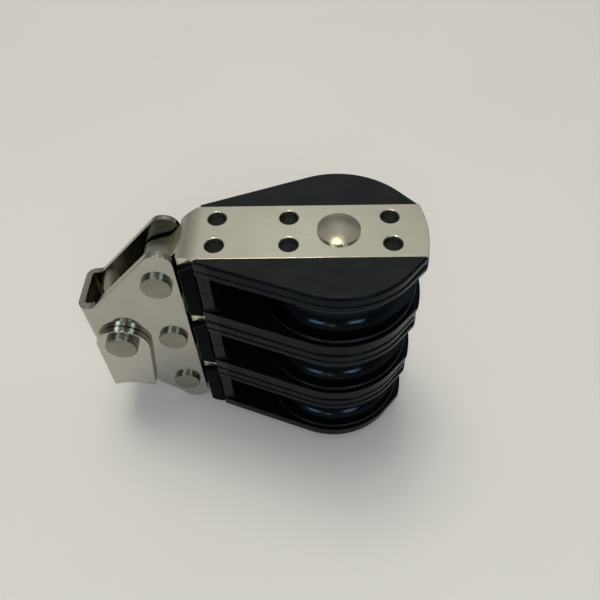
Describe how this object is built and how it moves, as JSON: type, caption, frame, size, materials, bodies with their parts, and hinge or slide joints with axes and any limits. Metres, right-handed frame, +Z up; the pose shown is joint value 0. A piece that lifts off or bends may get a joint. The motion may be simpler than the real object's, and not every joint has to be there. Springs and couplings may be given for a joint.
{
  "type": "triple fixed-head sailboat block",
  "caption": "Ball-bearing sailboat block with stacked sheaves in black teardrop cheeks, steel straps, a folded head bracket and a swinging shackle.",
  "frame": {"origin": "centre of the mounting hole, on the outer face of the head bracket's end web", "axes": "+X from the head towards the tails of the cheeks, +Z up along the sheaves' axle, +Y across"},
  "size_m": [0.0629, 0.03, 0.0502],
  "materials": {
    "cheek_plastic": "satin",
    "sheave_plastic": "gloss",
    "bearing_plastic": "satin",
    "spacer_plastic": "satin",
    "strap_steel": "polished",
    "rivet_steel": "satin"
  },
  "bodies": {
    "frame": {"cheek_upper_1": "cheek_plastic", "cheek_lower_1": "cheek_plastic", "race_1": "bearing_plastic", "balls_1": "bearing_plastic", "strap_1": "strap_steel", "spacer_1": "spacer_plastic", "cross_rivet_1": "rivet_steel", "cheek_upper_2": "cheek_plastic", "cheek_lower_2": "cheek_plastic", "race_2": "bearing_plastic", "balls_2": "bearing_plastic", "strap_2": "strap_steel", "spacer_2": "spacer_plastic", "cross_rivet_2": "rivet_steel", "cheek_upper_3": "cheek_plastic", "cheek_lower_3": "cheek_plastic", "race_3": "bearing_plastic", "balls_3": "bearing_plastic", "strap_3": "strap_steel", "spacer_3": "spacer_plastic", "cross_rivet_3": "rivet_steel", "axle_rivet": "rivet_steel", "head_bracket": "strap_steel", "shackle_pin": "rivet_steel"},
    "sheave_1": {"sheave_1": "sheave_plastic"},
    "sheave_2": {"sheave_2": "sheave_plastic"},
    "sheave_3": {"sheave_3": "sheave_plastic"},
    "shackle": {"shackle": "strap_steel"}
  },
  "joints": [
    {"name": "sheave_1_spin", "type": "hinge", "parent": "frame", "child": "sheave_1", "pos_m": [0.0477, 0, 0.016], "axis": [0, 0, 1], "continuous": true},
    {"name": "sheave_2_spin", "type": "hinge", "parent": "frame", "child": "sheave_2", "pos_m": [0.0477, 0, 0], "axis": [0, 0, 1], "continuous": true},
    {"name": "sheave_3_spin", "type": "hinge", "parent": "frame", "child": "sheave_3", "pos_m": [0.0477, 0, -0.016], "axis": [0, 0, 1], "continuous": true},
    {"name": "shackle_swing", "type": "hinge", "parent": "frame", "child": "shackle", "pos_m": [0.0063, 0, 0], "axis": [0, 1, 0], "range_deg": [0, 170.6]}
  ]
}
